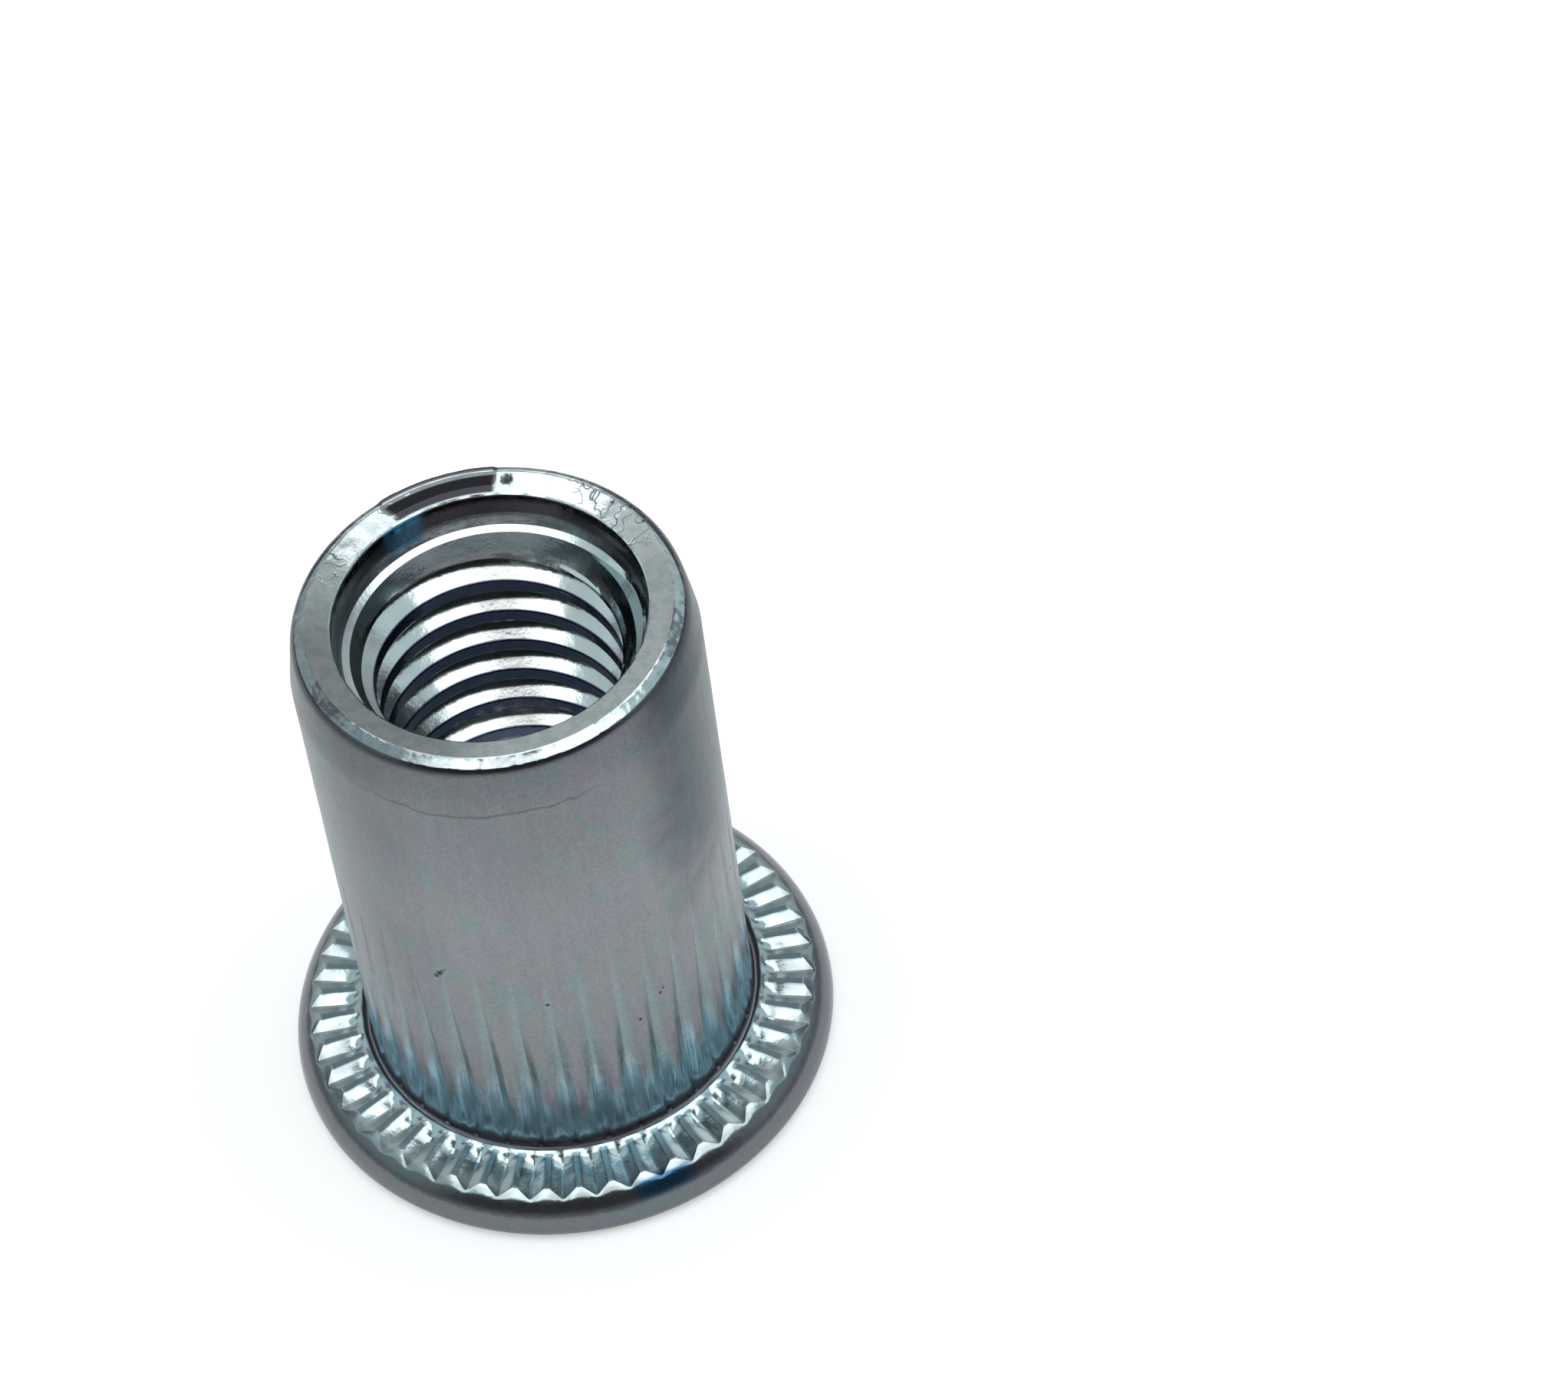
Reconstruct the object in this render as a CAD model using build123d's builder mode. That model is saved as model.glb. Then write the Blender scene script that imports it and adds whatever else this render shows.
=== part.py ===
from build123d import *
import os
from math import cos, pi, radians, sin, tan

os.makedirs("parts", exist_ok=True)

# Knurled rivet nut for an M8 bolt and an 11 mm hole, cold formed as one piece.
# It stands on its head: the origin is the centre of the head's outer face, and
# +Z runs along the thread towards the nose. All sizes are in millimetres.

overall_length = 18.0

# head: a flange with a rounded rim and a ring of teeth under it
flange_diameter = 15.35
flange_thickness = 1.5
rim_widest_height = 0.36
tooth_count = 48
tooth_land = 0.16
tooth_flank_angle = 31.0
tooth_ring_inner = 5.68
tooth_ring_outer = 7.15
tooth_crest_end = 6.87
tooth_valley_runout = 0.27
tooth_valley_start_depth = 0.02
lip_chamfer = 0.05
relief_depth = 0.15
relief_floor_width = 0.09

# shank: plain near the nose, knurled over the part that folds when it is set
body_diameter = 10.95
knurl_count = 36
knurl_bottom = 1.62
knurl_top = 9.8
knurl_depth = 0.15
knurl_width = 0.52
knurl_floor_width = 0.12
knurl_bottom_runout = 0.28
knurl_top_runout = 2.4
knurl_bottom_share = 0.05
knurl_top_share = 0.02
nose_taper_height = 1.6
nose_diameter = 10.5
nose_edge_radius = 0.38

# bore: counterbore at the nose, M8 thread core, wide thin-walled bore at the head
mouth_diameter = 8.32
mouth_depth = 0.9
mouth_chamfer = 0.08
thread_core_diameter = 6.647
thread_top = 16.0
thread_bottom = 8.5
head_bore_diameter = 9.16
head_bore_depth = 7.8
head_bore_edge_radius = 0.25

# the groove and valley cutters reach this far out of the metal
cutter_headroom = 0.1

flange_radius = flange_diameter / 2
body_radius = body_diameter / 2
nose_radius = nose_diameter / 2
mouth_radius = mouth_diameter / 2
thread_core_radius = thread_core_diameter / 2
head_bore_radius = head_bore_diameter / 2
flank_slope = tan(radians(tooth_flank_angle))


def edge_points(centre, radius, start, stop, steps):
    """Points of a small rounded edge between two angles, with a few flats to keep its mesh light."""
    turns = [radians(start + (stop - start) * step / steps) for step in range(steps + 1)]
    return [(centre[0] + radius * cos(turn), centre[1] + radius * sin(turn)) for turn in turns]


def tooth_depth(radius):
    """Depth of the valley between two teeth, whose flanks keep one slope."""
    return (pi * radius / tooth_count - tooth_land / 2) * flank_slope


def knurl_section(height, share):
    """Section of the knurl cutter at this height, where its groove has this share of the full depth."""
    side_slope = (knurl_width - knurl_floor_width) / 2 / knurl_depth
    depth = knurl_depth * share
    half_floor = knurl_floor_width / 2 * share
    half_width = half_floor + (depth + cutter_headroom) * side_slope
    outside = body_radius + cutter_headroom
    with BuildSketch(Plane.XY.offset(height)) as section:
        with BuildLine():
            Polyline(
                (outside, -half_width),
                (body_radius - depth, -half_floor),
                (body_radius - depth, half_floor),
                (outside, half_width),
                close=True,
            )
        make_face()
    return section.sketch


def tooth_section(radius, depth):
    """Vee section of the tooth cutter at this distance from the axis."""
    half_width = (depth + cutter_headroom) / flank_slope
    top = flange_thickness + cutter_headroom
    with BuildSketch(Plane.YZ.offset(radius)) as section:
        with BuildLine():
            Polyline(
                (-half_width, top),
                (0, flange_thickness - depth),
                (half_width, top),
                close=True,
            )
        make_face()
    return section.sketch


# One knurl groove: full depth along the shank, with a short run-out at the head
# and a long one towards the nose that draws it to a point.
with BuildPart() as knurl_cutter:
    loft(
        sections=[
            knurl_section(knurl_bottom, knurl_bottom_share),
            knurl_section(knurl_bottom + knurl_bottom_runout, 1),
            knurl_section(knurl_top - knurl_top_runout, 1),
            knurl_section(knurl_top, knurl_top_share),
        ],
        ruled=True,
    )

# One valley between two teeth: it rises to the lip at its inner end, and runs out
# over the sloping ends of the teeth.
valley_start_radius = tooth_ring_inner + tooth_valley_start_depth
valley_full_radius = tooth_ring_inner + tooth_valley_runout
with BuildPart() as tooth_cutter:
    loft(
        sections=[
            tooth_section(valley_start_radius, tooth_valley_start_depth),
            tooth_section(valley_full_radius, tooth_depth(valley_full_radius)),
            tooth_section(flange_radius, tooth_depth(flange_radius)),
        ],
        ruled=True,
    )

with BuildPart() as rivet_nut:
    # half section through the axis: x is the radius and y the height
    with BuildSketch(Plane.XZ):
        with BuildLine():
            # rim: its upper arc runs from the widest point to the foot of the teeth
            valley_level = flange_thickness - tooth_depth(tooth_ring_outer)
            rim_top = TangentArc(
                (flange_radius, rim_widest_height),
                (tooth_ring_outer, valley_level),
                tangent=(0, 1),
            )
            # sloping tooth ends, tooth crests, the lip inside them and the relief
            # where they meet the shank
            relief_middle = (tooth_ring_inner + body_radius) / 2
            relief_floor = flange_thickness - relief_depth
            underside = Polyline(
                rim_top @ 1,
                (tooth_crest_end, flange_thickness),
                (tooth_ring_inner + lip_chamfer, flange_thickness),
                (tooth_ring_inner, flange_thickness - lip_chamfer),
                (relief_middle + relief_floor_width / 2, relief_floor),
                (relief_middle - relief_floor_width / 2, relief_floor),
                (body_radius, flange_thickness - lip_chamfer),
            )
            # shank, taper and the rounded edge of the nose
            nose_centre = (nose_radius - nose_edge_radius, overall_length - nose_edge_radius)
            shank = Polyline(
                underside @ 1,
                (body_radius, overall_length - nose_taper_height),
                *edge_points(nose_centre, nose_edge_radius, 0, 90, 3),
            )
            # mouth, thread core and the shoulder down to the wide bore
            Polyline(
                shank @ 1,
                (mouth_radius + mouth_chamfer, overall_length),
                (mouth_radius, overall_length - mouth_chamfer),
                (mouth_radius, overall_length - mouth_depth),
                (thread_core_radius, thread_top),
                (thread_core_radius, thread_bottom),
                (head_bore_radius, head_bore_depth),
                (head_bore_radius, head_bore_edge_radius),
            )
            # head face between its two rounded edges
            bore_edge_centre = (head_bore_radius + head_bore_edge_radius, head_bore_edge_radius)
            rim_centre = (flange_radius - rim_widest_height, rim_widest_height)
            Polyline(
                *edge_points(bore_edge_centre, head_bore_edge_radius, 180, 270, 2),
                *edge_points(rim_centre, rim_widest_height, -90, 0, 3),
            )
        make_face()
    revolve(axis=Axis.Z)

    with PolarLocations(0, knurl_count):
        add(knurl_cutter.part, mode=Mode.SUBTRACT)

    # the valleys lie half a pitch from the crests, so a crest faces +X
    with PolarLocations(0, tooth_count, start_angle=180 / tooth_count):
        add(tooth_cutter.part, mode=Mode.SUBTRACT)

rivet_nut.part.label = "rivet_nut"
export_step(rivet_nut.part, "parts/rivet_nut.step")
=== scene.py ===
from math import cos, pi, radians, sin, sqrt, tan

import bpy
from mathutils import Matrix, Vector, noise


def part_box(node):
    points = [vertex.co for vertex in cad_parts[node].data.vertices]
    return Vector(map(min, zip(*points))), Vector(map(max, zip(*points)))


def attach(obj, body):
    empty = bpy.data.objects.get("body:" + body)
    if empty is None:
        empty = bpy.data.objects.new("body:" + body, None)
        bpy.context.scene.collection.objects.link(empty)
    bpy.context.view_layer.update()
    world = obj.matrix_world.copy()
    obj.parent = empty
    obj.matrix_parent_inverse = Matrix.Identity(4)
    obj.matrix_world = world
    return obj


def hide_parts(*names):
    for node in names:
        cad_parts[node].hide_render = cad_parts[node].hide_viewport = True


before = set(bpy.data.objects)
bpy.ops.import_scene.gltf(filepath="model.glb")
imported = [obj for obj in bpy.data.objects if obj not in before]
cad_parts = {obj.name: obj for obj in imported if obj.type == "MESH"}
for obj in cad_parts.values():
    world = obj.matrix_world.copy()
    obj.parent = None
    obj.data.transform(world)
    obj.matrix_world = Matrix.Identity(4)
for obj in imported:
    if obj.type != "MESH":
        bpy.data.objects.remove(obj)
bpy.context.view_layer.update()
nutLow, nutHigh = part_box("rivet_nut")
mm = 0.001  # shapes below are in millimetres, Blender is in metres

noseTop = (nutHigh.z - nutLow.z) / mm
rimRadius = (nutHigh.x - nutLow.x) / 2 / mm
print("frame loaded:", round(noseTop, 3), "mm tall,", round(rimRadius * 2, 3), "mm across")


# small helpers

def clamp(value, low=0.0, high=1.0):
    return max(low, min(high, value))


def ease(low, high, value):  # 0 to 1, smooth at both ends
    share = clamp((value - low) / (high - low))
    return share * share * (3 - 2 * share)


def along(stops, value):  # straight lines between (value, result) pairs
    if value <= stops[0][0]:
        return stops[0][1]
    for (a, ra), (b, rb) in zip(stops, stops[1:]):
        if value <= b:
            return ra + (rb - ra) * (value - a) / (b - a)
    return stops[-1][1]


def grain(angle, radius, height, size, seed=0.0):  # smooth noise on the surface, -1 to 1, size in mm
    spot = Vector((radius * cos(angle), radius * sin(angle), height)) / size
    return noise.noise(spot + Vector((seed * 17.31, seed * 5.17, seed * 9.73)))


def drift(x, y, z):  # smooth noise at any place, -1 to 1
    return noise.noise(Vector((x, y, z)))


def uneven(bumps, angle, radius, height):  # sum of grains, each given as height, size and seed
    return sum(high * grain(angle, radius, height, size, seed) for high, size, seed in bumps)


def arcFrom(degreesFromX, angle):  # signed angle between a direction in degrees and an angle
    return (angle - radians(degreesFromX) + pi) % (2 * pi) - pi


# the nut: one closed skin, over the head face, round the rim, up the shank and down through the thread;
# all its lengths are in millimetres, and its angles in degrees

nut = {
    "teeth": 48,
    "grooves": 36,
    "fineColumns": 576,  # 12 to a tooth, 16 to a knurl groove
    "coarseColumns": 288,
    "shankRadius": 5.475,
    "rimHeight": 0.36,
    "rimArc": 1.046,  # radius of the arc over the rim
    "toothOuter": 7.13,
    "crestEnd": 6.92,
    "crestShare": 0.09,  # half width of a tooth's flat crest, as a share of its pitch
    "knurlDepth": 0.125,
    "knurlHigh": 9.8,
    "threadPitch": 1.25,
    "threadCore": 3.3235,
    "threadRoot": 3.985,
    "threadPhase": 0.024,  # height of a crest's upper corner on the +X side, less whole pitches
    "threadLow": 7.8,
    "threadHigh": 16.73,
    "boreRadius": 4.58,
}
fine, coarse = nut["fineColumns"], nut["coarseColumns"]
points, faces = [], []
# finish at each point: in a knurl groove, bright where formed (at the knurl's foot a painted reflection of
# the teeth), grime and painted shade, and on a tooth's crest painted shade (1) or on its right-hand flank a
# painted highlight (-1); the pressed part and the dent of the end face are painted dark as shade too
grooveMask, formedMask, grimeAndShadeMask, shadeAndHighlightMask = [], [], [], []


def addPoint(radius, height, angle, formed=0.0, grimeAndShade=0.0):
    points.append((radius * cos(angle), radius * sin(angle), height))
    grooveMask.append(0.0)
    formedMask.append(formed)
    grimeAndShadeMask.append(grimeAndShade)
    shadeAndHighlightMask.append(0.0)
    return len(points) - 1


def addFace(*corners):
    kept = [c for k, c in enumerate(corners) if c != corners[k - 1]]
    if len(set(kept)) >= 3:
        faces.append(tuple(kept))


def addRow(columns, shape, formed=0.0, grimeAndShade=0.0):
    row = []
    for column in range(columns):
        angle = 2 * pi * column / columns
        row.append(addPoint(*shape(angle, column), formed, grimeAndShade))
    return row


def ringRow(columns, radius, height, formed=0.0, rough=0.0, size=1.0, grimeAndShade=0.0):  # a slightly uneven ring
    def shape(angle, column):
        off = rough * (grain(angle, radius, height, size) - 0.5)
        return radius + off, height, angle
    return addRow(columns, shape, formed, grimeAndShade)


def joinRows(lower, upper):  # either the same count, or one twice the other
    few = min(len(lower), len(upper))
    for k in range(few):
        after = (k + 1) % few
        if len(lower) == len(upper):
            addFace(lower[k], lower[after], upper[after], upper[k])
            continue
        a, b, c = 2 * k, 2 * k + 1, (2 * k + 2) % (2 * few)
        if len(lower) > few:
            addFace(lower[a], lower[b], upper[k])
            addFace(lower[b], lower[c], upper[after])
            addFace(lower[b], upper[after], upper[k])
        else:
            addFace(lower[k], upper[b], upper[a])
            addFace(lower[k], lower[after], upper[b])
            addFace(lower[after], upper[c], upper[b])


# head face and rim

head = {
    "face": ((4.83, 0.0), (5.1, 0.012), (5.6, 0.016), (6.1, 0.014), (6.6, 0.006), (7.0, 0.0), (7.315, 0.0)),
    "faceFormed": 0.4,
    "lowTurns": (18, 36, 54, 72, 90),  # round the rim's lower edge
    "rimTurns": (7, 14, 21, 28),  # and up over the rim
    "rimFineTurns": (34, 40, 46, 51),
    "rimFormed": 0.5,
    "rimRough": (0.006, 0.9),  # height, size
}


def headRows():
    formed, low = head["faceFormed"], nut["rimHeight"]
    rows = [ringRow(coarse, radius, height, formed) for radius, height in head["face"]]
    for turn in head["lowTurns"]:
        radius = rimRadius - low + low * sin(radians(turn))
        rows.append(ringRow(coarse, radius, low - low * cos(radians(turn)), formed))
    rows += [rimRow(coarse, turn) for turn in head["rimTurns"]]
    rows += [rimRow(fine, turn) for turn in head["rimFineTurns"]]
    return rows


def rimRow(columns, turn):
    radius = rimRadius - nut["rimArc"] * (1 - cos(radians(turn)))
    height = nut["rimHeight"] + nut["rimArc"] * sin(radians(turn))
    return ringRow(columns, radius, height, head["rimFormed"], *head["rimRough"])


def rimHeightAt(radius):
    across = (radius - rimRadius + nut["rimArc"]) / nut["rimArc"]
    return nut["rimHeight"] + nut["rimArc"] * sqrt(1 - across * across)


# ring of teeth: rows follow the sloping tooth ends, columns follow crests and valleys

teeth = {
    "columnShares": (0.0, 0.09, 0.17, 0.255, 0.34, 0.46, 0.5),  # from crest to valley
    "crest": ((5.72, 1.5), (5.8, 1.472), (6.92, 1.366)),  # height along the radius
    "valley": ((5.72, 1.494), (5.8, 1.455), (5.92, 1.37), (6.02, 1.3), (6.2, 1.25), (7.17, 1.24)),
    "valleyShare": 0.46,  # where the valley floor begins
    "valleyReach": 0.1,  # how much further out a valley runs than a crest's end slope
    "valleyEnd": 0.06,  # length of the end slope in a valley
    "rimJoin": 7.287,  # radius of the rim's last row
    "flankInner": 5.93,
    "endParts": (0, 0.5, 1),  # up the end slope
    "flankParts": (0.08, 0.2, 0.34, 0.48, 0.62, 0.76, 0.89, 1),  # inwards along the flanks
    "lip": (5.88, 5.84, 5.8, 5.72),
    "relief": ((5.695, 1.49, 0.2), (5.665, 1.4, 0.8), (5.63, 1.32, 1), (5.58, 1.3, 1), (5.53, 1.308, 1),
               (5.493, 1.335, 1)),  # radius, height, grime and painted shade
    "reliefRough": (0.012, 0.5),  # height, size
    "wobble": 0.012,
    "valleyWobble": 0.0084,
    "raggedEdge": 0.016,  # of a crest, as a share of the pitch
    "raggedEnd": 0.012,
    "raggedHip": 0.03,
    "chip": 0.05,
    "chipFrom": 0.38,  # higher for fewer chips
    "crestShadeFade": 6,  # higher for a narrower painted shade along the crests
}


def toothPlace(column):
    perTooth = fine // nut["teeth"]
    tooth, step = divmod(column + perTooth // 2, perTooth)
    step -= perTooth // 2
    share = teeth["columnShares"][abs(step)]
    return tooth % nut["teeth"], (share if step >= 0 else -share)


def fallOf(share):  # 0 on the crest, 1 in the valley
    return clamp((abs(share) - nut["crestShare"]) / (teeth["valleyShare"] - nut["crestShare"]))


def toothHeight(tooth, share, radius):
    side = 1 if share > 0 else 2
    ragged = teeth["wobble"] * drift(tooth * 3.7, radius * 1.9, 0.3)
    chip = teeth["chip"] * max(0.0, drift(tooth * 5.3, radius * 5.0, side * 4.1) - teeth["chipFrom"])
    crest = along(teeth["crest"], radius) + ragged - chip
    wobble = teeth["valleyWobble"] * drift(tooth * 4.1 + side * 0.3, radius * 1.6, 7.7)
    valley = along(teeth["valley"], radius) + wobble
    return crest + (valley - crest) * fallOf(share)


def toothRow(where, formed=1.0, paintsCrestAndFlank=0.0):  # where(fall, tooth, share) gives (radius, height)
    def shape(angle, column):
        tooth, share = toothPlace(column)
        fall = fallOf(share)
        edge = teeth["raggedEdge"] * drift(tooth * 2.9, where(fall, tooth, share)[0] * 3.1, 3.0)
        if 0 < abs(share) < 0.2:  # the columns beside the crest
            share += edge if share > 0 else -edge
        radius, height = where(fall, tooth, share)
        return radius, height, (tooth + share) * 2 * pi / nut["teeth"]
    row = addRow(fine, shape, formed)
    # these rows carry painted shade on the crests (1) and a painted highlight on right-hand flanks (-1)
    for column, point in enumerate(row):
        share = toothPlace(column)[1]
        rightFlank = -1.0 if share > nut["crestShare"] else 0.0
        shadeAndHighlightMask[point] = paintsCrestAndFlank * max(1 - teeth["crestShadeFade"] * fallOf(share), rightFlank)
    return row


def toothRows():
    def endOf(fall, tooth):  # radius where the end slope meets the rim
        ragged = teeth["raggedEnd"] * drift(tooth * 1.7, fall * 2.0, 5.0)
        return nut["toothOuter"] + teeth["valleyReach"] * fall + ragged

    def hipOf(fall, tooth):  # and where it meets the crest or the valley
        reach = nut["toothOuter"] - nut["crestEnd"] + teeth["valleyReach"] - teeth["valleyEnd"]
        ragged = teeth["raggedHip"] * (1 - fall) * drift(tooth * 2.3, 1.0, 9.0)
        return nut["crestEnd"] + reach * fall + ragged

    def rimEdge(fall, tooth, share):
        radius = (endOf(fall, tooth) + teeth["rimJoin"]) / 2
        return radius, rimHeightAt(radius)

    def endSlope(part):
        def where(fall, tooth, share):
            outer, hip = endOf(fall, tooth), hipOf(fall, tooth)
            low, high = rimHeightAt(outer), toothHeight(tooth, share, hip)
            return outer + (hip - outer) * part, low + (high - low) * part
        return where

    def flank(part):
        def where(fall, tooth, share):
            radius = hipOf(fall, tooth) + (teeth["flankInner"] - hipOf(fall, tooth)) * part
            return radius, toothHeight(tooth, share, radius)
        return where

    rows = [toothRow(rimEdge, head["rimFormed"])]
    rows += [toothRow(endSlope(part)) for part in teeth["endParts"]]
    rows += [toothRow(flank(part), 1.0, 1.0) for part in teeth["flankParts"]]
    for radius in teeth["lip"]:
        rows.append(toothRow(lambda fall, tooth, share: (radius, toothHeight(tooth, share, radius))))
    for radius, height, grimeAndShade in teeth["relief"]:
        rows.append(ringRow(fine, radius, height, 1.0, *teeth["reliefRough"], grimeAndShade))
    return rows


# shank: knurl grooves that are cut to a point at the top, and squeezed together at the foot

knurl = {
    "halfFloor": 0.07,
    "sideSlope": 0.5,
    "wander": 0.025,
    "unevenDepth": 0.2,
    "footHeight": 1.4,
    "footRunout": 1.3,
    "footShare": 0.35,  # of the depth, where the groove meets the head
    "topRunout": 5.0,
    "topCurve": 0.8,
    "unevenTop": 0.35,
    "grainRadius": 5.4,  # where its noise is read
    "crumple": 0.045,  # squeezed metal at the foot
    "crumpleMost": 0.03,
    "creases": (11, 0.7),  # how close, round the nut and along it
    "fineCreases": ((0.6, 0.3, 3),),  # height, size, seed
    "crumpleFrom": (1.36, 1.7),
    "crumpleTo": 4.4,
    "waves": ((0.007, 2.6, 1), (0.003, 0.5, 2)),  # height, size, seed
    "inset": 0.006,  # keeps the skin inside the shank's full radius
    "footReflectionFrom": (2.0, 0.5),  # height where the painted reflection of the teeth on the foot fades, and how much higher in a groove
    "footReflectionTo": (5.3, 1.7),
    "footReflectionMost": 0.95,
    "footReflectionRagged": ((0.7, 0.35, 6),),
    "grooveFull": 0.4,  # share of the depth from which a groove looks like one
    "grimeAndShadeFade": (1.5, 1.85),
    "grimeAndShadeRagged": ((0.15, 0.5, 14),),
    "heights": (1.385, 1.43, 1.475, 1.52, 1.58, 1.66, 1.76, 1.88, 2.02, 2.16, 2.32, 2.5, 2.7, 2.95, 3.2, 3.5,
                3.85, 4.2, 4.6, 5.0, 5.4, 5.8, 6.2, 6.6, 7.0, 7.4, 7.75, 8.1, 8.45, 8.75, 9.05, 9.3,
                9.55, 9.8, 10.05, 10.3),
    "plainHeights": (10.8, 11.4, 12.1, 12.8, 13.5, 14.2, 14.9, 15.6, 16.1),
}


def knurlCut(angle, height):  # depth of the groove here
    turn = angle * nut["grooves"] / (2 * pi)
    groove = round(turn)
    same = groove % nut["grooves"]
    wander = knurl["wander"] * drift(groove * 3.3, height * 0.5, 2.0)
    across = abs((turn - groove) * 2 * pi / nut["grooves"] * nut["shankRadius"] + wander)
    top = nut["knurlHigh"] + knurl["unevenTop"] * drift(same * 7.7, 0.5, 0.5)
    change = knurl["unevenDepth"] * drift(same * 5.1, height * 0.3, 1.0)
    atFoot = ease(knurl["footHeight"], knurl["footHeight"] + knurl["footRunout"], height)
    deep = nut["knurlDepth"] * (1 + change) * (knurl["footShare"] + (1 - knurl["footShare"]) * atFoot)
    deep *= clamp((top - height) / knurl["topRunout"]) ** knurl["topCurve"]
    floor = knurl["halfFloor"] * deep / nut["knurlDepth"]
    return clamp(deep - max(0.0, across - floor) * knurl["sideSlope"], 0.0, deep)


def shankPlace(angle, height):
    foot = 1 - ease(knurl["footHeight"], knurl["crumpleTo"], height)
    around, upward = knurl["creases"]
    creases = drift(cos(angle) * around, sin(angle) * around, height * upward)
    creases += uneven(knurl["fineCreases"], angle, knurl["grainRadius"], height * 0.4)
    crumple = knurl["crumple"] * foot * foot * ease(*knurl["crumpleFrom"], height) * creases
    waves = uneven(knurl["waves"], angle, knurl["grainRadius"], height)
    relief = min(crumple, knurl["crumpleMost"]) + waves - knurl["inset"]
    return nut["shankRadius"] - knurlCut(angle, height) + relief


def shankRow(columns, height):
    row = addRow(columns, lambda angle, column: (shankPlace(angle, height), height, angle))
    (low, lowMore), (high, highMore) = knurl["footReflectionFrom"], knurl["footReflectionTo"]
    for column, point in enumerate(row):
        angle = 2 * pi * column / columns
        deep = clamp(knurlCut(angle, height) / nut["knurlDepth"] / knurl["grooveFull"])
        reflectionLevel = height + uneven(knurl["footReflectionRagged"], angle, knurl["grainRadius"], height * 0.1)
        grimeAndShadeLevel = height + uneven(knurl["grimeAndShadeRagged"], angle, knurl["grainRadius"], height)
        grooveMask[point] = deep
        # the formed share here brings in the painted blue reflection of the teeth on the foot, and painted
        # light in the grooves above it
        fade = ease(low + lowMore * deep, high + highMore * deep, reflectionLevel)
        formedMask[point] = knurl["footReflectionMost"] * (1 - fade)
        grimeAndShadeMask[point] = 1 - ease(*knurl["grimeAndShadeFade"], grimeAndShadeLevel)
    return row


def shankRows():
    rows = [shankRow(fine, height) for height in knurl["heights"]]
    return rows + [shankRow(coarse, height) for height in knurl["plainHeights"]]


# nose: taper, burred edge, dished end face with a pressed patch painted dark as shade, counterbore

nose = {
    "outer": ((5.475, 16.4), (5.43, 16.7), (5.385, 17.0), (5.34, 17.3), (5.302, 17.52), (5.278, 17.62),
              (5.254, 17.69), (5.224, 17.755), (5.186, 17.81), (5.146, 17.85)),
    "edge": ((5.12, 17.866), (5.04, 17.906), (4.96, 17.95), (4.9, 17.985)),
    "face": (4.86, 4.81, 4.75, 4.68, 4.61, 4.54, 4.48, 4.42, 4.36, 4.3, 4.25),
    "dishFrom": 4.86,
    "dish": 13.0,  # slope of the face, falling inwards
    "patchFrom": 84.7,
    "patchTo": 121.5,
    "patchSoft": (0.8, 1.5),  # at its two ends
    "patchRagged": ((1.4, 0.5, 4),),
    "patch": ((4.25, 17.85), (4.48, 17.915), (4.8, 17.92), (4.96, 17.925), (5.04, 17.95), (5.12, 17.93),
              (5.15, 17.85)),
    # radii between which the pressed patch is painted dark as shade
    "patchShade": (4.28, 4.84),
    "dent": (80.4, 4.66, 0.19, 0.04),  # direction, radius, size, depth
    "dentFlat": 0.4,  # of its size
    "dentRagged": ((0.05, 0.12, 3),),
    "faceDrop": 0.002,  # below the highest point
    "bumps": ((0.004, 0.35, 5), (0.007, 1.4, 6)),  # height, size, seed, as the next four
    "burrs": ((0.011, 0.16, 8), (0.012, 0.6, 9)),
    "edgeLift": ((0.0066, 0.22, 7),),
    "mouthRagged": ((0.012, 0.3, 10),),
    "wallRagged": ((0.006, 0.7, 11),),
    "outerRough": (0.008, 0.9),
    "outerBright": (17.75, 17.87),
    "fineFrom": 17.3,
    # grime and painted shade on the upper wall of the mouth
    "wallGrimeAndShade": (16.95, 17.1),
    "wallGrimeAndShadeMost": 0.6,
    "mouth": ((4.205, -0.03), (4.175, -0.08), (4.162, -0.16)),  # radius, height against the face's inner edge
    "wall": ((4.16, 17.5), (4.16, 17.25), (4.16, 17.1), (4.15, 17.05), (4.09, 16.94), (4.03, 16.82)),
}


def patchShare(angle, radius):  # 1 where the end face was pressed flat
    arc = (angle * 180 / pi) % 360 + uneven(nose["patchRagged"], angle, radius, 0.0)
    first, last = nose["patchSoft"]
    return ease(nose["patchFrom"] - first, nose["patchFrom"] + first, arc) - ease(
        nose["patchTo"] - last, nose["patchTo"] + last, arc)


def dentShare(angle, radius):  # 1 in the middle of the small dent beside the pressed part
    away, at, size = nose["dent"][:3]
    across = sqrt((arcFrom(away, angle) * radius) ** 2 + (radius - at) ** 2)
    across += uneven(nose["dentRagged"], angle, radius, 0.0)
    return 1 - ease(nose["dentFlat"] * size, size, across)


def faceHeight(angle, radius):
    height = noseTop - nose["faceDrop"] - max(0.0, nose["dishFrom"] - radius) * tan(radians(nose["dish"]))
    height += (along(nose["patch"], radius) - height) * patchShare(angle, radius)
    height += uneven(nose["bumps"], angle, radius, 0.0)
    height -= nose["dent"][3] * dentShare(angle, radius)
    return min(height, noseTop)


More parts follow.
